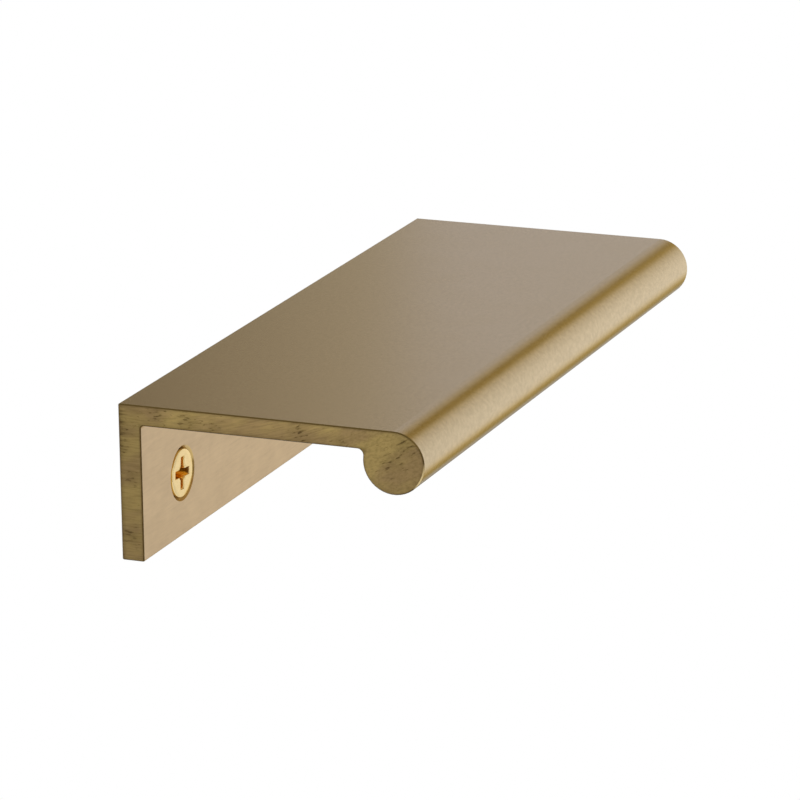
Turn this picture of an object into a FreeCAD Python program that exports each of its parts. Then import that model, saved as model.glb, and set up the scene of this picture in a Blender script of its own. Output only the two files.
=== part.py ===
# Tab pull: a short length of brass extrusion, sawn, drilled and countersunk, with its two wood screws.
# X runs along the pull, +Y goes into the drawer front and +Z is up.
# The origin is on the mounting face, midway between the two screws. All sizes are in millimetres.
import FreeCAD, Part
import math
import os

from FreeCAD import Vector

# Extrusion
length = 100.0
projection = 40.5            # mounting face to the front of the bead
height = 20.2                # top face to the lower edge of the flange
flange_thickness = 3.0
plate_thickness = 2.6
bead_diameter = 8.0
bead_fillet = 0.8            # underside of the plate into the bead
root_fillet = 0.4            # underside of the plate into the flange
top_edge_radius = 0.2        # long edge between the top and mounting faces
lower_edge_radius = 0.2      # two long edges at the foot of the flange
end_chamfer = 0.15           # all round both sawn ends

# Screw holes in the flange
screw_spacing = 76.0
screw_drop = 12.1            # top face down to the line of the screws
hole_clearance = 0.25        # all round the screw's thread
sink_margin = 0.5            # all round the screw's head, at the flange's inner face
sink_angle = 90.0            # of the countersink and of the cone under the screw's head
drill_overrun = 1.0          # how far the drill passes each face

# Wood screws
screw_length = 8.0           # top of the head to the tip
head_diameter = 6.2
head_land = 0.45             # straight rim above the head's cone
head_rim_radius = 0.08
neck_diameter = 3.0
thread_diameter = 3.5        # over the crests; the thread itself is a plain cylinder here
thread_start = 0.1           # behind the mounting face
point_length = 2.8
tip_diameter = 0.3
seat_clearance = 0.05        # along the screw, between the head's cone and the countersink

# Cross recess in the screw's head
recess_depth = 2.0
wing_span = 4.2
wing_width = 1.0
wing_end_angle = 26.5        # slope of each wing's outer end, from the screw's axis
wing_side_angle = 5.75       # draft on each wing's sides
core_diameter = 2.0
core_angle = 12.0            # slope of the core's wall, from the screw's axis
core_tip_depth = 0.35        # blunt cone at the bottom of the core
recess_turns = (5.0, 38.0)   # degrees clockwise seen from the front, as each screw came to rest

# Places that follow from the sizes above
bead_radius = bead_diameter / 2
top_z = screw_drop
foot_z = top_z - height
underside_z = top_z - plate_thickness
inner_y = -flange_thickness
hole_radius = thread_diameter / 2 + hole_clearance
sink_radius = head_diameter / 2 + sink_margin
bead_y = bead_radius - projection
bead_z = top_z - bead_radius
half_angle_slope = math.tan(math.radians(sink_angle / 2))
into_drawer = Vector(0, 1, 0)
no_length = 1e-6             # shorter than this is nothing


def arc(centre, radius, start, end):
    """Arc in the YZ plane about (y, z); angles are in degrees from +Y towards +Z."""
    def point(angle):
        turn = math.radians(angle)
        return Vector(0, centre[0] + radius * math.cos(turn), centre[1] + radius * math.sin(turn))
    return Part.Arc(point(start), point((start + end) / 2), point(end)).toShape()


def section():
    """Section of the extrusion: its arcs in order, counter-clockwise, joined by straight runs."""
    fillet_z = underside_z - bead_fillet
    fillet_y = bead_y + math.sqrt((bead_radius + bead_fillet) ** 2 - (fillet_z - bead_z) ** 2)
    meet = math.degrees(math.atan2(fillet_z - bead_z, fillet_y - bead_y))
    arcs = [
        arc((-top_edge_radius, top_z - top_edge_radius), top_edge_radius, 0, 90),
        arc((bead_y, bead_z), bead_radius, 90, 360 + meet),
        arc((fillet_y, fillet_z), bead_fillet, 180 + meet, 90),
        arc((inner_y - root_fillet, underside_z - root_fillet), root_fillet, 90, 0),
        arc((inner_y + lower_edge_radius, foot_z + lower_edge_radius), lower_edge_radius, 180, 270),
        arc((-lower_edge_radius, foot_z + lower_edge_radius), lower_edge_radius, 270, 360),
    ]
    edges = []
    for index, current in enumerate(arcs):
        following = arcs[(index + 1) % len(arcs)]
        edges.append(current)
        gap_start = current.valueAt(current.LastParameter)
        gap_end = following.valueAt(following.FirstParameter)
        if gap_start.distanceToPoint(gap_end) > no_length:
            edges.append(Part.makeLine(gap_start, gap_end))
    return Part.Face(Part.Wire(edges))


def screw_places():
    """Where the two screw lines cross the mounting face, with the turn of each recess."""
    ends = (-screw_spacing / 2, screw_spacing / 2)
    return [(Vector(x, 0, 0), turn) for x, turn in zip(ends, recess_turns)]


def countersunk_hole(place):
    """The metal that the drill and the countersink take out at one screw."""
    drill_start = place + Vector(0, inner_y - drill_overrun, 0)
    drill = Part.makeCylinder(hole_radius, flange_thickness + 2 * drill_overrun, drill_start, into_drawer)
    mouth_radius = sink_radius + drill_overrun * half_angle_slope
    sink_depth = (mouth_radius - hole_radius) / half_angle_slope
    sink = Part.makeCone(mouth_radius, hole_radius, sink_depth, drill_start, into_drawer)
    return drill.fuse(sink)


def pull():
    """The extrusion cut to length, with its ends eased and its holes drilled."""
    bar = section().extrude(Vector(length, 0, 0))
    bar.translate(Vector(-length / 2, 0, 0))
    end_edges = [edge for edge in bar.Edges if edge.BoundBox.XLength < no_length]
    bar = bar.makeChamfer(end_chamfer, end_edges)
    return bar.cut([countersunk_hole(place) for place, turn in screw_places()])


def cross_recess(head_y):
    """What the driver's tip takes out of the head: two crossed wedges and a blunt core."""
    def wing(along):
        span_end = wing_span / 2 - recess_depth * math.tan(math.radians(wing_end_angle))
        side_end = wing_width / 2 - recess_depth * math.tan(math.radians(wing_side_angle))
        wide, narrow = (wing_span / 2, span_end), (wing_width / 2, side_end)
        across, upward = (wide, narrow) if along == "x" else (narrow, wide)
        return Part.makeWedge(-across[0], head_y, -upward[0], -upward[1], -across[1],
                              across[0], head_y + recess_depth, upward[0], upward[1], across[1])
    core_end = core_diameter / 2 - recess_depth * math.tan(math.radians(core_angle))
    head_centre = Vector(0, head_y, 0)
    core = Part.makeCone(core_diameter / 2, core_end, recess_depth, head_centre, into_drawer)
    tip = Part.makeCone(core_end, 0, core_tip_depth, head_centre + into_drawer * recess_depth, into_drawer)
    return wing("x").fuse([wing("z"), core, tip])


def wood_screw():
    """One screw on the Y axis, its head seated in the countersink."""
    head_radius = head_diameter / 2
    neck_radius = neck_diameter / 2
    thread_radius = thread_diameter / 2
    cone_start = inner_y + sink_margin / half_angle_slope - seat_clearance
    cone_end = cone_start + (head_radius - neck_radius) / half_angle_slope
    head_y = cone_start - head_land
    tip_y = head_y + screw_length
    rim = math.sqrt(0.5) * head_rim_radius
    rim_centre = Vector(head_radius - head_rim_radius, head_y + head_rim_radius, 0)
    corners = [
        Vector(head_radius, head_y + head_rim_radius, 0),
        Vector(head_radius, cone_start, 0),
        Vector(neck_radius, cone_end, 0),
        Vector(neck_radius, thread_start, 0),
        Vector(thread_radius, thread_start, 0),
        Vector(thread_radius, tip_y - point_length, 0),
        Vector(tip_diameter / 2, tip_y, 0),
        Vector(0, tip_y, 0),
        Vector(0, head_y, 0),
        Vector(head_radius - head_rim_radius, head_y, 0),
    ]
    rim_arc = Part.Arc(corners[-1], rim_centre + Vector(rim, -rim, 0), corners[0]).toShape()
    outline = Part.Wire(Part.makePolygon(corners).Edges + [rim_arc])
    blank = Part.Face(outline).revolve(Vector(0, 0, 0), into_drawer, 360)
    return blank.cut(cross_recess(head_y))


def fixing_screws():
    """Both screws, as a group of separate solids."""
    screws = []
    for place, turn in screw_places():
        screw = wood_screw()
        screw.rotate(Vector(0, 0, 0), into_drawer, turn)
        screw.translate(place)
        screws.append(screw)
    return Part.makeCompound(screws)


os.makedirs("parts", exist_ok=True)
for name, shape in (("pull", pull()), ("fixing_screws", fixing_screws())):
    shape.exportStep(f"parts/{name}.step")
    print(name, len(shape.Solids), "solids", round(shape.Volume, 2), "mm3", shape.isValid())
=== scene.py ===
# Brass tab pull with its two countersunk wood screws: finishes, screws, studio and camera
import math

import bpy
from mathutils import Matrix, Vector


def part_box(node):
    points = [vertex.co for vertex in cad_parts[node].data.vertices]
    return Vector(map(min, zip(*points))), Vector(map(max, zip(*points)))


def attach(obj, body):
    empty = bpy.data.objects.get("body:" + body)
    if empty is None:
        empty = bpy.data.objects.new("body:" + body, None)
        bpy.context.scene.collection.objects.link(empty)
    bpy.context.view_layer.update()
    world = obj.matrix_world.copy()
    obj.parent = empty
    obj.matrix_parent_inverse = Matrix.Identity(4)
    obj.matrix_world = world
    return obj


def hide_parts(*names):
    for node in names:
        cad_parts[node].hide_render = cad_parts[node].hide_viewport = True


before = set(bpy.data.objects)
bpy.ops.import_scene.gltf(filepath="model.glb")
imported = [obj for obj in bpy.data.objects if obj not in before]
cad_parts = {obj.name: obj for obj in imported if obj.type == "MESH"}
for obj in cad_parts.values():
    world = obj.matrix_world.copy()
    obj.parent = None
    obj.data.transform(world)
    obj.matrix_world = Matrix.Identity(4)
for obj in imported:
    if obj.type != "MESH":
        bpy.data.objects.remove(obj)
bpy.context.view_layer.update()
scene = bpy.context.scene
mm = 0.001  # sizes below are in millimetres, Blender is in metres
pullLow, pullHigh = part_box("pull")
screwLow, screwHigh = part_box("fixing_screws")
headRadius = screwHigh.z  # the screws are level with the origin
screwPlaces = (screwLow.x + headRadius, screwHigh.x - headRadius)
print("frame loaded:", ", ".join(sorted(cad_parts)))


def linear(hexColour):
    # sRGB hex to the linear RGBA that the sockets take
    channels = [int(hexColour[i:i + 2], 16) / 255 for i in (1, 3, 5)]
    return [c / 12.92 if c <= 0.04045 else ((c + 0.055) / 1.055) ** 2.4 for c in channels] + [1.0]


def addNode(tree, kind, inputs=None, **settings):
    # one node: settings are its own properties, inputs are values or sockets to link from
    # a Mix node's sockets go by number: 0 is the share, 2 and 3 are values, 6 and 7 are colours
    made = tree.nodes.new(kind)
    for name, value in settings.items():
        setattr(made, name, value)
    for socket, value in (inputs or {}).items():
        if isinstance(value, bpy.types.NodeSocket):
            tree.links.new(value, made.inputs[socket])
        else:
            made.inputs[socket].default_value = value
    return made


def newMaterial(name):
    material = bpy.data.materials.new(name)
    material.use_nodes = True
    material.node_tree.nodes.clear()
    return material, material.node_tree


def perMetre(*sizes):
    # texture scale for grains of these sizes in mm along X, Y and Z, or of one size every way
    each = sizes if len(sizes) == 3 else sizes * 3
    return tuple(1 / (size * mm) for size in each)


def joined(tree, sockets, operation):
    # one value from several, pair by pair
    result = sockets[0]
    for socket in sockets[1:]:
        result = addNode(tree, "ShaderNodeMath", {0: result, 1: socket}, operation=operation).outputs[0]
    return result


brushed = dict(
    colour="#d9c5a0", deepColour="#cfbc98",
    roughness=0.22, anisotropy=0.5,
    markWidth=0.6, markLength=0.55,  # the brush's marks are about 0.05 mm wide, drawn coarser to show
    markRange=(0.3, 0.7), middleTone=0.5, markDepth=0.0005,
    mottleSize=6.0, mottleRange=(0.3, 0.7), mottleGloss=0.01,
    flatShare=0.7, beadRun=(-36.0, -39.0),  # the bead took the brush harder than the flat top
)


def brushedSatinBrass():
    # Extruded brass, brushed across its length and lacquered: a soft champagne sheen that smears along
    # the pull, under faint short marks
    material, tree = newMaterial("brushed_satin_brass")
    place = addNode(tree, "ShaderNodeTexCoord").outputs["Object"]
    markPlace = addNode(tree, "ShaderNodeMapping", {
        "Vector": place,
        "Scale": perMetre(brushed["markWidth"], brushed["markLength"], brushed["markLength"])})
    marks = addNode(tree, "ShaderNodeTexNoise", {
        "Vector": markPlace.outputs[0], "Scale": 1.0, "Detail": 1.0, "Roughness": 0.5})
    depth = addNode(tree, "ShaderNodeMapRange", {
        "Value": marks.outputs["Fac"],
        "From Min": brushed["markRange"][0], "From Max": brushed["markRange"][1]})
    parts = addNode(tree, "ShaderNodeSeparateXYZ", {0: place})
    hardness = addNode(tree, "ShaderNodeMapRange", {
        "Value": parts.outputs["Y"],
        "From Min": brushed["beadRun"][0] * mm, "From Max": brushed["beadRun"][1] * mm,
        "To Min": brushed["flatShare"], "To Max": 1.0})
    tone = addNode(tree, "ShaderNodeMix", {
        0: hardness.outputs[0], 2: brushed["middleTone"], 3: depth.outputs[0]})
    colour = addNode(tree, "ShaderNodeMix", {
        0: tone.outputs[0], 6: linear(brushed["colour"]), 7: linear(brushed["deepColour"])},
        data_type="RGBA")
    mottlePlace = addNode(tree, "ShaderNodeMapping", {
        "Vector": place, "Scale": perMetre(brushed["mottleSize"])})
    mottle = addNode(tree, "ShaderNodeTexNoise", {
        "Vector": mottlePlace.outputs[0], "Scale": 1.0, "Detail": 2.0, "Roughness": 0.5})
    gloss = addNode(tree, "ShaderNodeMapRange", {
        "Value": mottle.outputs["Fac"],
        "From Min": brushed["mottleRange"][0], "From Max": brushed["mottleRange"][1],
        "To Min": brushed["roughness"] - brushed["mottleGloss"],
        "To Max": brushed["roughness"] + brushed["mottleGloss"]})
    bump = addNode(tree, "ShaderNodeBump", {
        "Height": marks.outputs["Fac"], "Strength": hardness.outputs[0],
        "Distance": brushed["markDepth"] * mm})
    along = addNode(tree, "ShaderNodeCombineXYZ", {"X": 1.0})  # the sheen spreads along the pull
    brass = addNode(tree, "ShaderNodeBsdfPrincipled", {
        "Base Color": colour.outputs[2], "Metallic": 1.0, "Roughness": gloss.outputs[0],
        "Anisotropic": brushed["anisotropy"], "Tangent": along.outputs[0], "Normal": bump.outputs[0]})
    addNode(tree, "ShaderNodeOutputMaterial", {"Surface": brass.outputs[0]})
    return material


drawn = dict(
    # these colours are a little darker than the brushed brass: painted shade for the faces under the
    # plate
    colour="#d7be9a", deepColour="#cab290", scratchColour="#6b5532",
    roughness=0.3,
    lineWidth=0.35, lineLength=2.5,  # real die lines are about 0.1 mm wide, drawn coarser to show
    lineDepth=0.003, lineRelief=0.5,
    cloudSize=5.0, cloudShare=0.6, toneRange=(0.35, 0.65),
    scratchWidth=0.16, scratchLength=9.0, scratchRange=(0.36, 0.26), scratchShade=0.08,
)


def drawnSatinBrass():
    # Inside and mounting faces that the brush didn't reach: rosier satin from the die, softly clouded,
    # with faint lines and scratches along the pull; a little darker than the brushed brass, as painted
    # shade for the faces under the plate
    material, tree = newMaterial("drawn_satin_brass")
    place = addNode(tree, "ShaderNodeTexCoord").outputs["Object"]
    lengthways = addNode(tree, "ShaderNodeMapping", {
        "Vector": place, "Scale": perMetre(drawn["lineLength"], drawn["lineWidth"], drawn["lineWidth"])})
    lines = addNode(tree, "ShaderNodeTexNoise", {
        "Vector": lengthways.outputs[0], "Scale": 1.0, "Detail": 2.0, "Roughness": 0.6})
    cloudPlace = addNode(tree, "ShaderNodeMapping", {
        "Vector": place, "Scale": perMetre(drawn["cloudSize"])})
    clouds = addNode(tree, "ShaderNodeTexNoise", {
        "Vector": cloudPlace.outputs[0], "Scale": 1.0, "Detail": 3.0, "Roughness": 0.6})
    both = addNode(tree, "ShaderNodeMix", {
        0: drawn["cloudShare"], 2: lines.outputs["Fac"], 3: clouds.outputs["Fac"]})
    tone = addNode(tree, "ShaderNodeMapRange", {
        "Value": both.outputs[0],
        "From Min": drawn["toneRange"][0], "From Max": drawn["toneRange"][1]})
    plain = addNode(tree, "ShaderNodeMix", {
        0: tone.outputs[0], 6: linear(drawn["colour"]), 7: linear(drawn["deepColour"])},
        data_type="RGBA")
    scratchPlace = addNode(tree, "ShaderNodeMapping", {
        "Vector": place,
        "Scale": perMetre(drawn["scratchLength"], drawn["scratchWidth"], drawn["scratchWidth"])})
    scratches = addNode(tree, "ShaderNodeTexNoise", {
        "Vector": scratchPlace.outputs[0], "Scale": 1.0, "Detail": 1.0, "Roughness": 0.5})
    scratched = addNode(tree, "ShaderNodeMapRange", {
        "Value": scratches.outputs["Fac"],
        "From Min": drawn["scratchRange"][0], "From Max": drawn["scratchRange"][1],
        "To Max": drawn["scratchShade"]})
    colour = addNode(tree, "ShaderNodeMix", {
        0: scratched.outputs[0], 6: plain.outputs[2], 7: linear(drawn["scratchColour"])},
        data_type="RGBA")
    bump = addNode(tree, "ShaderNodeBump", {
        "Height": lines.outputs["Fac"], "Strength": drawn["lineRelief"],
        "Distance": drawn["lineDepth"] * mm})
    brass = addNode(tree, "ShaderNodeBsdfPrincipled", {
        "Base Color": colour.outputs[2], "Metallic": 1.0, "Roughness": drawn["roughness"],
        "Normal": bump.outputs[0]})
    addNode(tree, "ShaderNodeOutputMaterial", {"Surface": brass.outputs[0]})
    return material


section = dict(flange=3.0, plate=2.6, beadRadius=4.0)  # the extrusion's own thicknesses
sawn = dict(
    colour="#cdb577", patchColour="#bda373", markColour="#4c3a20",
    roughness=0.5,
    bladeRadius=65.0, bladeY=-1.5,  # the teeth went round in arcs this big, about a hub above the flange
    fineWidth=0.2, fineLength=2.2, fineRange=(0.58, 0.3), fineShade=0.3,
    gritWidth=0.3, gritLength=0.45, gritShares=(0.15, 0.8), gritShade=0.15,
    beadRun=(-26.0, -33.0),  # less drag, so more grit, at the bead
    dragDepth=0.02, dragRelief=0.5,
    markWidth=0.3, markLength=1.0, markRange=(0.35, 0.2), markShade=0.75,
    tearLift=0.16, stainRange=(0.2, 1.0), stainShade=0.24,  # marks and stains gather at the tears
    patchWidth=3.0, patchLength=6.0, patchRange=(0.4, 0.6),
    rimReach=0.4, rimShade=0.45,  # darker within this reach of the outline
    flangeRun=(-6.0, -2.5), flangeShade=0.29,  # the cut ended in the flange, which it left duller
    burrRun=(-0.7, 0.0), burrShade=0.4,  # and dark with burr at its outer edge
    combWidth=0.4, combLength=5.0, combRange=(0.54, 0.4), combShade=0.5,
    combRun=(-1.4, -0.5), combRise=(5.0, 7.5),  # where the burr broke into a comb
    underReach=1.7, rootReach=1.0, underShade=0.2,  # the plate's lower edge is darker too
    footFall=(6.8, 4.3), footShade=0.16,  # and so are the foot and the front of the bead
    frontRun=(-37.0, -40.5), frontShade=0.12,
    tears=[  # y, z and reach of the rougher places, where the teeth tore
        (-0.3, 9.0, 2.2), (-0.4, 6.5, 1.8), (-1.6, 2.6, 1.6), (-1.4, -5.0, 2.0),
        (-5.5, 11.3, 2.2), (-9.5, 10.8, 2.6), (-13.0, 10.3, 1.6), (-24.2, 10.7, 2.2), (-29.5, 10.2, 1.5),
        (-38.2, 10.6, 3.0), (-37.9, 9.7, 1.3), (-36.4, 7.9, 2.6)],
)


def depthInSection(tree, flat):
    # how far a point of a sawn end lies inside the outline, in mm
    low, high = pullLow / mm, pullHigh / mm
    radius = section["beadRadius"]
    flangeLow = Vector((0.0, high.y - section["flange"], low.z))
    plateLow = Vector((0.0, low.y + radius, high.z - section["plate"]))
    below = addNode(tree, "ShaderNodeVectorMath", {0: high, 1: flat}, operation="SUBTRACT")
    depths = []
    for corner in (flangeLow, plateLow):
        above = addNode(tree, "ShaderNodeVectorMath", {0: flat, 1: corner}, operation="SUBTRACT")
        least = addNode(tree, "ShaderNodeVectorMath", {
            0: above.outputs[0], 1: below.outputs[0]}, operation="MINIMUM")
        parts = addNode(tree, "ShaderNodeSeparateXYZ", {0: least.outputs[0]})
        depths.append(joined(tree, [parts.outputs["Y"], parts.outputs["Z"]], "MINIMUM"))
    centre = Vector((0.0, low.y + radius, high.z - radius))
    away = addNode(tree, "ShaderNodeVectorMath", {0: flat, 1: centre}, operation="DISTANCE")
    inBead = addNode(tree, "ShaderNodeMath", {0: radius, 1: away.outputs["Value"]}, operation="SUBTRACT")
    return joined(tree, depths + [inBead.outputs[0]], "MAXIMUM")


def sawnBrass():
    # Brass left from the circular saw: dull olive, with arcs of fine tooth marks, gritty at the bead, and
    # dark dashes where it tore
    material, tree = newMaterial("sawn_brass")
    coords = addNode(tree, "ShaderNodeTexCoord")
    place = addNode(tree, "ShaderNodeVectorMath", {
        0: coords.outputs["Object"], "Scale": 1 / mm}, operation="SCALE").outputs[0]  # in mm from here on
    places = addNode(tree, "ShaderNodeSeparateXYZ", {0: place})
    alongY, alongZ = places.outputs["Y"], places.outputs["Z"]
    flat = addNode(tree, "ShaderNodeCombineXYZ", {"Y": alongY, "Z": alongZ}).outputs[0]
    top = pullHigh.z / mm
    hub = Vector((0.0, sawn["bladeY"], top + sawn["bladeRadius"]))
    toHub = addNode(tree, "ShaderNodeVectorMath", {0: hub, 1: flat}, operation="SUBTRACT")
    reach = addNode(tree, "ShaderNodeVectorMath", {0: toHub.outputs[0]}, operation="LENGTH")
    parts = addNode(tree, "ShaderNodeSeparateXYZ", {0: toHub.outputs[0]})
    turn = addNode(tree, "ShaderNodeMath", {
        0: parts.outputs["Y"], 1: parts.outputs["Z"]}, operation="ARCTAN2")
    sweep = addNode(tree, "ShaderNodeMath", {
        0: turn.outputs[0], 1: sawn["bladeRadius"]}, operation="MULTIPLY")
    arcs = addNode(tree, "ShaderNodeCombineXYZ", {
        "X": reach.outputs["Value"], "Y": sweep.outputs[0], "Z": places.outputs["X"]})
    noises = []
    for grain in ("fine", "grit", "mark", "patch", "comb"):
        width, length = sawn[grain + "Width"], sawn[grain + "Length"]  # across the arcs, and along them
        stretched = addNode(tree, "ShaderNodeMapping", {
            "Vector": arcs.outputs[0], "Scale": (1 / width, 1 / length, 1 / length)})
        noise = addNode(tree, "ShaderNodeTexNoise", {
            "Vector": stretched.outputs[0], "Scale": 1.0, "Detail": 2.0, "Roughness": 0.55})
        noises.append(noise.outputs["Fac"])
    fine, grit, marks, patches, comb = noises

    near = []
    for y, z, size in sawn["tears"]:
        away = addNode(tree, "ShaderNodeVectorMath", {0: flat, 1: (0.0, y, z)}, operation="DISTANCE")
        near.append(addNode(tree, "ShaderNodeMapRange", {
            "Value": away.outputs["Value"], "From Min": size, "From Max": 0.0}).outputs[0])
    torn = joined(tree, near, "MAXIMUM")
    lowered = addNode(tree, "ShaderNodeMath", {
        0: torn, 1: -sawn["tearLift"], 2: marks}, operation="MULTIPLY_ADD")

    bead = (alongY, *sawn["beadRun"])
    awayFromBead = (alongY, *reversed(sawn["beadRun"]))
    gritShare = addNode(tree, "ShaderNodeMapRange", {
        "Value": alongY, "From Min": sawn["beadRun"][0], "From Max": sawn["beadRun"][1],
        "To Min": sawn["gritShares"][0], "To Max": sawn["gritShares"][1]})
    drag = addNode(tree, "ShaderNodeMix", {0: gritShare.outputs[0], 2: fine, 3: grit})
    underside = top - section["plate"]
    root = -section["flange"]
    shades = [  # how dark, then ramps that are multiplied: value, where it starts, where it is full
        (sawn["fineShade"], (drag.outputs[0], *sawn["fineRange"])),
        (sawn["markShade"], (lowered.outputs[0], *sawn["markRange"])),
        (sawn["stainShade"], (torn, *sawn["stainRange"])),
        (sawn["rimShade"], (depthInSection(tree, flat), sawn["rimReach"], 0.0)),
        (sawn["gritShade"], bead),
        (sawn["flangeShade"], (alongY, *sawn["flangeRun"])),
        (sawn["burrShade"], (alongY, *sawn["burrRun"])),
        (sawn["combShade"], (comb, *sawn["combRange"]), (alongY, *sawn["combRun"]),
         (alongZ, *sawn["combRise"])),
        (sawn["underShade"], (alongZ, underside + sawn["underReach"], underside),
         (alongY, root, root - sawn["rootReach"]), awayFromBead),
        (sawn["footShade"], (alongZ, *sawn["footFall"]), bead),
        (sawn["frontShade"], (alongY, *sawn["frontRun"])),
    ]
    lit = []
    for shade, *ramps in shades:
        shares = []
        for value, start, full in ramps:
            shares.append(addNode(tree, "ShaderNodeMapRange", {
                "Value": value, "From Min": start, "From Max": full}).outputs[0])
        lit.append(addNode(tree, "ShaderNodeMapRange", {
            "Value": joined(tree, shares, "MULTIPLY"), "To Min": 1.0, "To Max": 1.0 - shade}).outputs[0])
    light = joined(tree, lit, "MULTIPLY")

    patch = addNode(tree, "ShaderNodeMapRange", {
        "Value": patches, "From Min": sawn["patchRange"][0], "From Max": sawn["patchRange"][1]})
    ground = addNode(tree, "ShaderNodeMix", {
        0: patch.outputs[0], 6: linear(sawn["colour"]), 7: linear(sawn["patchColour"])},
        data_type="RGBA")
    colour = addNode(tree, "ShaderNodeMix", {
        0: light, 6: linear(sawn["markColour"]), 7: ground.outputs[2]}, data_type="RGBA")
    bump = addNode(tree, "ShaderNodeBump", {
        "Height": drag.outputs[0], "Strength": sawn["dragRelief"], "Distance": sawn["dragDepth"] * mm})
    brass = addNode(tree, "ShaderNodeBsdfPrincipled", {
        "Base Color": colour.outputs[2], "Metallic": 1.0, "Roughness": sawn["roughness"],
        "Normal": bump.outputs[0]})
    addNode(tree, "ShaderNodeOutputMaterial", {"Surface": brass.outputs[0]})
    return material


filed = dict(
    # painted light on the filed edges: their brown is partly a painted dark reflection, the level colour
    # a darker painted reflection where an edge faces up or down, the bright colour a painted highlight
    colour="#73603d", deepColour="#5f4d2d", levelReflectionColour="#5a4926", highlightColour="#dcc692",
    roughness=0.45, nickSize=0.8, nickRange=(0.35, 0.65),
    levelRange=(0.0, 0.5),  # how far an edge has to face up or down
    brightSide=(0.0, -0.92, -0.38), brightRange=(0.62, 0.69),  # a painted highlight at the front of the bead
    brightRun=(-36.0, -39.0),
)


def filedBrass():
    # The saw's burr filed off both ends: a thin uneven outline, brown partly of its own and partly as a
    # painted dark reflection, darker still where it faces up or down, with a painted highlight at the
    # front of the bead
    material, tree = newMaterial("filed_brass_edge")
    coords = addNode(tree, "ShaderNodeTexCoord")
    nickPlace = addNode(tree, "ShaderNodeMapping", {
        "Vector": coords.outputs["Object"], "Scale": perMetre(filed["nickSize"])})
    nicks = addNode(tree, "ShaderNodeTexNoise", {
        "Vector": nickPlace.outputs[0], "Scale": 1.0, "Detail": 3.0, "Roughness": 0.6})
    tone = addNode(tree, "ShaderNodeMapRange", {
        "Value": nicks.outputs["Fac"],
        "From Min": filed["nickRange"][0], "From Max": filed["nickRange"][1]})
    plain = addNode(tree, "ShaderNodeMix", {
        0: tone.outputs[0], 6: linear(filed["colour"]), 7: linear(filed["deepColour"])},
        data_type="RGBA")
    facing = addNode(tree, "ShaderNodeSeparateXYZ", {0: coords.outputs["Normal"]})
    upright = addNode(tree, "ShaderNodeMath", {0: facing.outputs["Z"]}, operation="ABSOLUTE")
    # painted dark reflection where an edge faces up or down
    level = addNode(tree, "ShaderNodeMapRange", {
        "Value": upright.outputs[0],
        "From Min": filed["levelRange"][0], "From Max": filed["levelRange"][1]})
    darker = addNode(tree, "ShaderNodeMix", {
        0: level.outputs[0], 6: plain.outputs[2], 7: linear(filed["levelReflectionColour"])},
        data_type="RGBA")
    # painted highlight where an edge faces down and forward, at the front of the bead
    towards = addNode(tree, "ShaderNodeVectorMath", {
        0: coords.outputs["Normal"], 1: filed["brightSide"]}, operation="DOT_PRODUCT")
    facingHighlight = addNode(tree, "ShaderNodeMapRange", {
        "Value": towards.outputs["Value"],
        "From Min": filed["brightRange"][0], "From Max": filed["brightRange"][1]})
    parts = addNode(tree, "ShaderNodeSeparateXYZ", {0: coords.outputs["Object"]})
    front = addNode(tree, "ShaderNodeMapRange", {
        "Value": parts.outputs["Y"],
        "From Min": filed["brightRun"][0] * mm, "From Max": filed["brightRun"][1] * mm})
    bright = joined(tree, [facingHighlight.outputs[0], front.outputs[0]], "MULTIPLY")
    colour = addNode(tree, "ShaderNodeMix", {
        0: bright, 6: darker.outputs[2], 7: linear(filed["highlightColour"])}, data_type="RGBA")
    brass = addNode(tree, "ShaderNodeBsdfPrincipled", {
        "Base Color": colour.outputs[2], "Metallic": 1.0, "Roughness": filed["roughness"]})
    addNode(tree, "ShaderNodeOutputMaterial", {"Surface": brass.outputs[0]})
    return material


drilled = dict(
    # the last colour is painted shade deep in the countersink, next to the screw head
    colour="#dcc084", deepColour="#b09254", sinkShadeColour="#8f7443",
    roughness=0.28,
    ringWidth=0.12, ringLength=8.0, ringDepth=0.01, ringRelief=0.5,
    sinkShadeRun=(0.2, 0.5),  # painted shade in the countersink, from and to this depth below the flange's inner face
)


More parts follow.
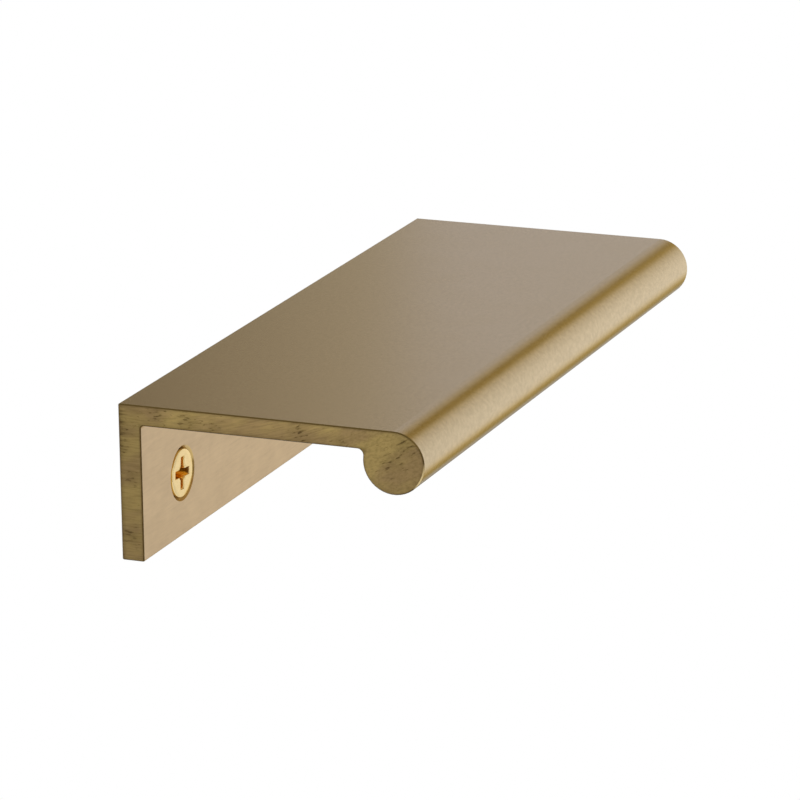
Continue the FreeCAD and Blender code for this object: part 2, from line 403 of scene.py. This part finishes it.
def drilledBrass():
    # Bare brass turned by the countersink: brighter gold, with fine rings round each screw and painted
    # shade deeper down
    material, tree = newMaterial("drilled_brass")
    place = addNode(tree, "ShaderNodeTexCoord").outputs["Object"]
    depthOnly = addNode(tree, "ShaderNodeMapping", {
        "Vector": place,
        "Scale": perMetre(drilled["ringLength"], drilled["ringWidth"], drilled["ringLength"])})
    rings = addNode(tree, "ShaderNodeTexNoise", {
        "Vector": depthOnly.outputs[0], "Scale": 1.0, "Detail": 2.0, "Roughness": 0.5})
    colour = addNode(tree, "ShaderNodeMix", {
        0: rings.outputs["Fac"], 6: linear(drilled["colour"]), 7: linear(drilled["deepColour"])},
        data_type="RGBA")
    parts = addNode(tree, "ShaderNodeSeparateXYZ", {0: place})
    # painted shade: darker deeper in the countersink
    sinkShadeStart, sinkShadeFull = [(depth - section["flange"]) * mm for depth in drilled["sinkShadeRun"]]
    sinkShaded = addNode(tree, "ShaderNodeMapRange", {
        "Value": parts.outputs["Y"], "From Min": sinkShadeStart, "From Max": sinkShadeFull})
    finish = addNode(tree, "ShaderNodeMix", {
        0: sinkShaded.outputs[0], 6: colour.outputs[2], 7: linear(drilled["sinkShadeColour"])},
        data_type="RGBA")
    bump = addNode(tree, "ShaderNodeBump", {
        "Height": rings.outputs["Fac"], "Strength": drilled["ringRelief"],
        "Distance": drilled["ringDepth"] * mm})
    brass = addNode(tree, "ShaderNodeBsdfPrincipled", {
        "Base Color": finish.outputs[2], "Metallic": 1.0, "Roughness": drilled["roughness"],
        "Normal": bump.outputs[0]})
    addNode(tree, "ShaderNodeOutputMaterial", {"Surface": brass.outputs[0]})
    return material


plated = dict(
    colour="#fbe4ab", deepColour="#f1d492",
    roughness=0.14, grainGloss=0.04,
    grainSize=0.6, grainRange=(0.3, 0.7), grainDepth=0.004, grainRelief=0.4,
)


def platedBrass():
    # Bright brass plate over steel: mirror gold, a little uneven in gloss from the grain of the steel
    material, tree = newMaterial("bright_brass_plate")
    place = addNode(tree, "ShaderNodeTexCoord").outputs["Object"]
    grainPlace = addNode(tree, "ShaderNodeMapping", {
        "Vector": place, "Scale": perMetre(plated["grainSize"])})
    grain = addNode(tree, "ShaderNodeTexNoise", {
        "Vector": grainPlace.outputs[0], "Scale": 1.0, "Detail": 3.0, "Roughness": 0.6})
    colour = addNode(tree, "ShaderNodeMix", {
        0: grain.outputs["Fac"], 6: linear(plated["colour"]), 7: linear(plated["deepColour"])},
        data_type="RGBA")
    gloss = addNode(tree, "ShaderNodeMapRange", {
        "Value": grain.outputs["Fac"],
        "From Min": plated["grainRange"][0], "From Max": plated["grainRange"][1],
        "To Min": plated["roughness"] - plated["grainGloss"],
        "To Max": plated["roughness"] + plated["grainGloss"]})
    bump = addNode(tree, "ShaderNodeBump", {
        "Height": grain.outputs["Fac"], "Strength": plated["grainRelief"],
        "Distance": plated["grainDepth"] * mm})
    brass = addNode(tree, "ShaderNodeBsdfPrincipled", {
        "Base Color": colour.outputs[2], "Metallic": 1.0, "Roughness": gloss.outputs[0],
        "Normal": bump.outputs[0]})
    addNode(tree, "ShaderNodeOutputMaterial", {"Surface": brass.outputs[0]})
    return material


recessLook = dict(
    # the last two colours are painted light: a yellow reflection deeper down, and brown shade on the
    # sloping ends and the floor
    colour="#fdeec0", deepColour="#f3d694", deepReflectionColour="#eab434", endShadeColour="#c88a28",
    roughness=0.2, patchSize=0.5, patchRange=(0.35, 0.65),
    deepReflectionRun=(0.25, 0.7),  # painted warm reflection, from and to this depth below the head's face
    endShadeRun=(-0.1, 0.3), endShadeLean=(-0.3, -0.4),  # painted shade on the sloping ends and the floor, by how they face
)


def recessPlateShaded():
    # The same plate inside the driver recess: patchy and pale at the mouth, with a painted yellow
    # reflection below, and painted brown shade on the sloping ends and the floor
    material, tree = newMaterial("recess_plate_painted_light")
    coords = addNode(tree, "ShaderNodeTexCoord")
    place = coords.outputs["Object"]
    patchPlace = addNode(tree, "ShaderNodeMapping", {
        "Vector": place, "Scale": perMetre(recessLook["patchSize"])})
    patches = addNode(tree, "ShaderNodeTexNoise", {
        "Vector": patchPlace.outputs[0], "Scale": 1.0, "Detail": 2.0, "Roughness": 0.6})
    tone = addNode(tree, "ShaderNodeMapRange", {
        "Value": patches.outputs["Fac"],
        "From Min": recessLook["patchRange"][0], "From Max": recessLook["patchRange"][1]})
    colour = addNode(tree, "ShaderNodeMix", {
        0: tone.outputs[0], 6: linear(recessLook["colour"]), 7: linear(recessLook["deepColour"])},
        data_type="RGBA")
    parts = addNode(tree, "ShaderNodeSeparateXYZ", {0: place})
    depths = []
    for start, full in (recessLook["deepReflectionRun"], recessLook["endShadeRun"]):
        depths.append(addNode(tree, "ShaderNodeMapRange", {
            "Value": parts.outputs["Y"],
            "From Min": screwLow.y + start * mm, "From Max": screwLow.y + full * mm}).outputs[0])
    deepShare, endShadeDepth = depths
    # painted yellow reflection deeper in the recess
    withReflection = addNode(tree, "ShaderNodeMix", {
        0: deepShare, 6: colour.outputs[2], 7: linear(recessLook["deepReflectionColour"])}, data_type="RGBA")
    facing = addNode(tree, "ShaderNodeSeparateXYZ", {0: coords.outputs["Normal"]})
    leaning = addNode(tree, "ShaderNodeMapRange", {
        "Value": facing.outputs["Y"],
        "From Min": recessLook["endShadeLean"][0], "From Max": recessLook["endShadeLean"][1]})
    endShade = joined(tree, [leaning.outputs[0], endShadeDepth], "MULTIPLY")
    # painted brown shade on the recess's sloping ends and floor
    finish = addNode(tree, "ShaderNodeMix", {
        0: endShade, 6: withReflection.outputs[2], 7: linear(recessLook["endShadeColour"])}, data_type="RGBA")
    brass = addNode(tree, "ShaderNodeBsdfPrincipled", {
        "Base Color": finish.outputs[2], "Metallic": 1.0, "Roughness": recessLook["roughness"]})
    addNode(tree, "ShaderNodeOutputMaterial", {"Surface": brass.outputs[0]})
    return material


# The pull keeps its own shape and gets a finish for each way its faces were made
pullFaces = dict(
    endNormal=0.99, edgeNormal=0.3, flatNormal=0.9,  # how squarely a face has to look along X or Y
    edgeDepth=0.3, holeReach=4.0,  # how far in from an end, and out from a screw
    insideStart=-32.6,  # inside: under the plate, from the flange to behind the bead
    slack=0.05,
)


def faceFinish(face):
    # how this face of the pull was made
    facing = abs(face.normal.x)
    nearHole = min(math.hypot(face.center.x - x, face.center.z) for x in screwPlaces)
    atEnd = abs(face.center.x) > pullHigh.x - pullFaces["edgeDepth"] * mm
    underPlate = face.center.z < pullHigh.z - (section["plate"] - pullFaces["slack"]) * mm
    behindBead = pullFaces["insideStart"] < face.center.y / mm < pullFaces["slack"] - section["flange"]
    if nearHole < pullFaces["holeReach"] * mm and abs(face.normal.y) < pullFaces["flatNormal"]:
        return "drilled"
    if facing > pullFaces["endNormal"]:
        return "sawn"
    if facing > pullFaces["edgeNormal"] and atEnd:
        return "filed"
    if face.normal.y > pullFaces["flatNormal"] or (underPlate and behindBead):
        return "drawn"
    return "brushed"


def finishPull():
    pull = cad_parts["pull"]
    finishes = dict(
        brushed=brushedSatinBrass(), sawn=sawnBrass(), filed=filedBrass(),
        drilled=drilledBrass(), drawn=drawnSatinBrass())
    pull.data.materials.clear()
    for material in finishes.values():
        pull.data.materials.append(material)
    order = list(finishes)
    for face in pull.data.polygons:
        face.material_index = order.index(faceFinish(face))
    print("pull finished:", len(pull.data.polygons), "faces,", len(order), "finishes")


finishPull()

screw = dict(
    headLand=0.45, rimRadius=0.08, neckRadius=1.5, coneLength=1.6, shoulder=0.15,
    threadStart=0.1, threadRadius=1.75, rootRadius=1.2, threadPitch=1.3, runIn=0.9,
    ridgeWidth=0.45,  # share of the pitch
    ridgeFill=1.25,  # more than 1, so that the crest has a narrow flat
    pointLength=2.8, tipRadius=0.15,
    recessDepth=2.0, wingSpan=4.2, wingWidth=1.0, wingEndAngle=26.5, wingSideAngle=5.75,
    coreRadius=1.0, coreAngle=12.0, coreTip=0.35, recessEdge=0.06,
    turns=(5.0, 38.0),  # degrees clockwise seen from the front
    # rings of the mesh, in order: over the recess's floor, up its walls and out over the head's face
    floorShares=(0.3, 0.65), wallDepths=(1.5, 1.0, 0.5, 0.2), faceShares=(0.0, 0.15, 0.4, 0.7, 1.0),
    sideSteps=3, endSteps=4, coreSteps=7, rimSteps=3, rowStep=0.04, sharpAngle=30.0,
)


def recessOutline(depth, flare=0.0):
    # the cross at this depth, as (across, along) points going clockwise seen from the front
    def drafted(size, angle):
        return size - depth * math.tan(math.radians(angle)) + flare

    span = drafted(screw["wingSpan"] / 2, screw["wingEndAngle"])
    side = drafted(screw["wingWidth"] / 2, screw["wingSideAngle"])
    core = drafted(screw["coreRadius"], screw["coreAngle"])
    corner = math.asin(side / core)
    foot = core * math.cos(corner)
    wing = []
    for i in range(screw["sideSteps"]):
        wing.append((-side, foot + (span - foot) * i / screw["sideSteps"]))
    for i in range(screw["endSteps"]):
        wing.append((side * (2 * i / screw["endSteps"] - 1), span))
    for i in range(screw["sideSteps"]):
        wing.append((side, span + (foot - span) * i / screw["sideSteps"]))
    for i in range(screw["coreSteps"]):
        angle = corner + (math.pi / 2 - 2 * corner) * i / screw["coreSteps"]
        wing.append((core * math.sin(angle), core * math.cos(angle)))
    outline = []
    for quarter in range(4):
        turned = Matrix.Rotation(-quarter * math.pi / 2, 2)
        outline += [turned @ Vector(point) for point in wing]
    return outline


def threadRadius(y, angle, tipY):
    # right-hand thread on a core that tapers to a gimlet point
    toTip = min(1.0, (tipY - y) / screw["pointLength"])
    crest = screw["tipRadius"] + (screw["threadRadius"] - screw["tipRadius"]) * toTip
    root = screw["tipRadius"] + (screw["rootRadius"] - screw["tipRadius"]) * toTip
    phase = (y / screw["threadPitch"] - angle / (2 * math.pi)) % 1.0
    ridge = max(0.0, 1 - abs(phase - 0.5) / (screw["ridgeWidth"] / 2))
    ridge *= min(1.0, (y - screw["threadStart"]) / screw["runIn"])
    return root + (crest - root) * min(1.0, ridge * screw["ridgeFill"])


def screwRows():
    # rings of (x, y, z) in mm, from the bottom of the recess round the head and down to the tip
    headY, tipY = screwLow.y / mm, screwHigh.y / mm
    rim, edge, headR = screw["rimRadius"], screw["recessEdge"], headRadius / mm
    mouth = recessOutline(0.0, edge)
    angles = [math.atan2(point[0], point[1]) for point in mouth]
    count = len(angles)
    rows = []

    def flatRing(outline, y):
        rows.append([(point[0], y, point[1]) for point in outline])

    def roundRing(radii, y):
        rows.append([(r * math.sin(a), y, r * math.cos(a)) for r, a in zip(radii, angles)])

    floor = recessOutline(screw["recessDepth"])
    for share in screw["floorShares"]:
        dip = screw["coreTip"] * (1 - share)
        flatRing([point * share for point in floor], headY + screw["recessDepth"] + dip)
    for depth in (screw["recessDepth"], *screw["wallDepths"], edge):
        flatRing(recessOutline(depth), headY + depth)
    eased = edge / 3  # one ring between, which rounds the edge
    flatRing(recessOutline(eased, eased), headY + eased)
    recessBands = len(rows) - 1
    for share in screw["faceShares"]:
        roundRing([p.length + (headR - rim - p.length) * share for p in mouth], headY)
    for step in range(1, screw["rimSteps"] + 1):
        lean = step * math.pi / (2 * screw["rimSteps"])
        roundRing([headR - rim + rim * math.sin(lean)] * count, headY + rim - rim * math.cos(lean))
    neck, start = screw["neckRadius"], screw["threadStart"]
    coneStart = headY + screw["headLand"]
    coneEnd = coneStart + screw["coneLength"]
    for y, r in ((coneStart, headR), ((coneStart + coneEnd) / 2, (headR + neck) / 2),
                 (coneEnd, neck), (start - screw["shoulder"], neck)):
        roundRing([r] * count, y)
    steps = round((tipY - start) / screw["rowStep"])
    for step in range(steps + 1):
        y = start + (tipY - start) * step / steps
        roundRing([threadRadius(y, a, tipY) for a in angles], y)
    return rows, recessBands


def buildScrew(name, x, turn, materials):
    rows, recessBands = screwRows()
    count = len(rows[0])
    turned = Matrix.Rotation(math.radians(turn), 4, "Y")
    place = Matrix.Translation((x, 0, 0)) @ turned @ Matrix.Scale(mm, 4)
    points = [place @ Vector(point) for row in rows for point in row]
    faces = []
    for row in range(len(rows) - 1):
        for i in range(count):
            j = (i + 1) % count
            faces.append((row * count + i, row * count + j, (row + 1) * count + j, (row + 1) * count + i))
    bottom = len(points)
    points.append(place @ Vector((0, screwLow.y / mm + screw["recessDepth"] + screw["coreTip"], 0)))
    points.append(place @ Vector((0, screwHigh.y / mm, 0)))
    last = (len(rows) - 1) * count
    for i in range(count):
        j = (i + 1) % count
        faces.append((bottom, j, i))
        faces.append((bottom + 1, last + i, last + j))
    mesh = bpy.data.meshes.new(name)
    mesh.from_pydata(points, [], faces)
    for material in materials:
        mesh.materials.append(material)
    for face in mesh.polygons:
        if face.index < recessBands * count or bottom in face.vertices:
            face.material_index = 1  # the recess
    mesh.shade_smooth()
    mesh.set_sharp_from_angle(angle=math.radians(screw["sharpAngle"]))
    made = bpy.data.objects.new(name, mesh)
    scene.collection.objects.link(made)
    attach(made, "root")
    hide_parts("fixing_screws")
    print("screw built:", name, len(faces), "faces")


screwFinishes = (platedBrass(), recessPlateShaded())  # outside, and in the recess
for name, x, turn in zip(("near_screw", "far_screw"), screwPlaces, screw["turns"]):
    buildScrew(name, x, turn, screwFinishes)

studio = dict(
    white="#ffffff", floorColour="#f4f4f2",
    floorDrop=600.0, floorSide=8000.0,
    fillLight=0.7,
    cards=[  # name, x, y, width, low, high, colour
        ("left_card", -700, 330, 520, -600, 250, "#c4baa8"),
        ("lens_flag", -450, -250, 220, -250, 30, "#6c4e1c"),
        ("front_card", -340, -790, 300, -590, 330, "#96804f"),
    ],
    lamps=[  # name, place, side, watts
        ("key_softbox", (-300, -900, 900), 700, 3.0),
        ("rim_softbox", (600, 700, 800), 700, 2.0),
    ],
)


def seenRays(tree):
    # 1 for the rays that see the background: camera, glossy and transmission
    rays = addNode(tree, "ShaderNodeLightPath")
    kinds = ("Is Camera Ray", "Is Glossy Ray", "Is Transmission Ray")
    return joined(tree, [rays.outputs[kind] for kind in kinds], "MAXIMUM")


def mattCard(name, colour):
    # Painted card, matt, with no gloss of its own
    material, tree = newMaterial(name)
    paint = addNode(tree, "ShaderNodeBsdfPrincipled", {
        "Base Color": linear(colour), "Roughness": 1.0, "Specular IOR Level": 0.0})
    addNode(tree, "ShaderNodeOutputMaterial", {"Surface": paint.outputs[0]})
    return material


def whitePaper():
    # Seamless white paper, evenly lit: pure white to the eye and in the brass, matt to all other light
    material, tree = newMaterial("white_floor")
    matt = addNode(tree, "ShaderNodeBsdfDiffuse", {"Color": linear(studio["floorColour"])})
    glow = addNode(tree, "ShaderNodeEmission", {"Color": linear(studio["white"]), "Strength": 1.0})
    paper = addNode(tree, "ShaderNodeMixShader", {
        0: seenRays(tree), 1: matt.outputs[0], 2: glow.outputs[0]})
    addNode(tree, "ShaderNodeOutputMaterial", {"Surface": paper.outputs[0]})
    return material


def whiteRoom():
    # the same white all round, which gives a weaker fill
    world = bpy.data.worlds.new("white_room")
    world.use_nodes = True
    tree = world.node_tree
    tree.nodes.clear()
    white = linear(studio["white"])
    fill = addNode(tree, "ShaderNodeBackground", {"Color": white, "Strength": studio["fillLight"]})
    seen = addNode(tree, "ShaderNodeBackground", {"Color": white, "Strength": 1.0})
    room = addNode(tree, "ShaderNodeMixShader", {
        0: seenRays(tree), 1: fill.outputs[0], 2: seen.outputs[0]})
    addNode(tree, "ShaderNodeOutputWorld", {"Surface": room.outputs[0]})
    return world


def aimed(at, aim, axis):
    # stands at one point, with this axis turned to another
    turn = (aim - at).to_track_quat(axis, "Y")
    return Matrix.Translation(at) @ turn.to_matrix().to_4x4()


def panel(name, width, height, matrix, material):
    mesh = bpy.data.meshes.new(name)
    w, h = width * mm / 2, height * mm / 2
    mesh.from_pydata([(-w, -h, 0), (w, -h, 0), (w, h, 0), (-w, h, 0)], [], [(0, 1, 2, 3)])
    mesh.materials.append(material)
    made = bpy.data.objects.new(name, mesh)
    made.matrix_world = matrix
    scene.collection.objects.link(made)
    return made


def buildStudio():
    scene.world = whiteRoom()
    down = Matrix.Translation((0, 0, -studio["floorDrop"] * mm))
    panel("floor", studio["floorSide"], studio["floorSide"], down, whitePaper())
    for name, x, y, width, low, high, colour in studio["cards"]:
        at = Vector((x, y, (low + high) / 2)) * mm
        upright = aimed(at, Vector((0, 0, at.z)), "Z")
        card = panel(name, width, high - low, upright, mattCard(name, colour))
        card.visible_camera = False
    for name, place, side, watts in studio["lamps"]:
        light = bpy.data.lights.new(name, "AREA")
        light.size = side * mm
        light.energy = watts
        lamp = bpy.data.objects.new(name, light)
        lamp.matrix_world = aimed(Vector(place) * mm, Vector((0, 0, 0)), "-Z")
        scene.collection.objects.link(lamp)
    print("studio built:", len(studio["cards"]), "cards,", len(studio["lamps"]), "lamps")


buildStudio()

backdrop = dict(
    distance=700.0, low=-600.0, high=1600.0, right=-650.0, left=1200.0,
    # heights: lower tones up to the first, middle tones from the second to the third, upper from the last
    levels=(-320.0, -150.0, 20.0, 380.0),
    upperTones=[  # y and tone, from right to left
        (-500, "#c0c0c0"), (-300, "#c4bcb0"), (-220, "#bcb094"), (-150, "#8e7838"), (-40, "#8e7834"),
        (50, "#b0a284"), (180, "#b4aea8"), (254, "#b4aeac"), (268, "#aaa08e"), (380, "#7c705c")],
    middleTones=[
        (-500, "#d4d4d4"), (-350, "#f8f4f0"), (-190, "#fcfaf4"), (-90, "#ecd484"), (0, "#c2b69c"),
        (110, "#ccccd6"), (254, "#c8c8d2"), (268, "#b0aa9e"), (380, "#7c705c")],
    lowerTones=[
        (-500, "#d4d4d4"), (-300, "#f4f0ea"), (-240, "#ecdaa6"), (-170, "#aa8e28"), (-90, "#9e863c"),
        (-20, "#a4945c"), (60, "#c2c2c0"), (130, "#969088"), (254, "#70685c"), (380, "#7c705c")],
)


def gradedPaper(width, middle):
    # Lit paper, graded across and upwards: soft bands that the long faces mirror
    material, tree = newMaterial("graded_backdrop")
    place = addNode(tree, "ShaderNodeTexCoord").outputs["Object"]
    parts = addNode(tree, "ShaderNodeSeparateXYZ", {0: place})
    across = addNode(tree, "ShaderNodeMapRange", {
        "Value": parts.outputs["X"], "From Min": width / 2 * mm, "From Max": -width / 2 * mm})
    ramps = []
    for tones in (backdrop["lowerTones"], backdrop["middleTones"], backdrop["upperTones"]):
        ramp = addNode(tree, "ShaderNodeValToRGB", {0: across.outputs[0]})
        stops = ramp.color_ramp.elements
        for index, (y, colour) in enumerate(tones):
            at = (y - backdrop["right"]) / width
            stop = stops[0] if index == 0 else stops.new(at)
            stop.position = at
            stop.color = linear(colour)
        stops.remove(stops[-1])  # the white stop that a new ramp has
        ramps.append(ramp.outputs[0])
    tone = ramps[0]
    for start, end, ramp in zip(backdrop["levels"][::2], backdrop["levels"][1::2], ramps[1:]):
        upward = addNode(tree, "ShaderNodeMapRange", {
            "Value": parts.outputs["Y"],
            "From Min": (start - middle) * mm, "From Max": (end - middle) * mm})
        mixed = addNode(tree, "ShaderNodeMix", {0: upward.outputs[0], 6: tone, 7: ramp}, data_type="RGBA")
        tone = mixed.outputs[2]
    glow = addNode(tree, "ShaderNodeEmission", {"Color": tone, "Strength": 1.0})
    addNode(tree, "ShaderNodeOutputMaterial", {"Surface": glow.outputs[0]})
    return material


def buildBackdrop():
    # stands beyond the far end, upright and square to the pull
    width, height = backdrop["left"] - backdrop["right"], backdrop["high"] - backdrop["low"]
    middle = (backdrop["low"] + backdrop["high"]) / 2
    at = Vector((backdrop["distance"], (backdrop["left"] + backdrop["right"]) / 2, middle)) * mm
    upright = aimed(at, Vector((0, at.y, at.z)), "Z")
    made = panel("graded_backdrop", width, height, upright, gradedPaper(width, middle))
    made.visible_camera = False
    made.visible_diffuse = False
    print("backdrop built:", width, "by", height, "mm")


buildBackdrop()

view = dict(  # from the front left and a little above, fitted to the edges in the photograph
    place=(-546.508, -238.013, 171.562),
    aim=(0.0, -17.27, 0.53),
    roll=-0.706,  # degrees
    lens=209.3, sensor=36.0, nearClip=10.0,
)


def buildCamera():
    lens = bpy.data.cameras.new("camera")
    lens.lens = view["lens"]
    lens.sensor_width = view["sensor"]
    lens.clip_start = view["nearClip"] * mm
    camera = bpy.data.objects.new("camera", lens)
    look = aimed(Vector(view["place"]) * mm, Vector(view["aim"]) * mm, "-Z")
    camera.matrix_world = look @ Matrix.Rotation(math.radians(view["roll"]), 4, "Z")
    scene.collection.objects.link(camera)
    scene.camera = camera
    print("camera set:", view["lens"], "mm lens")


buildCamera()
scene.view_settings.view_transform = "Standard"
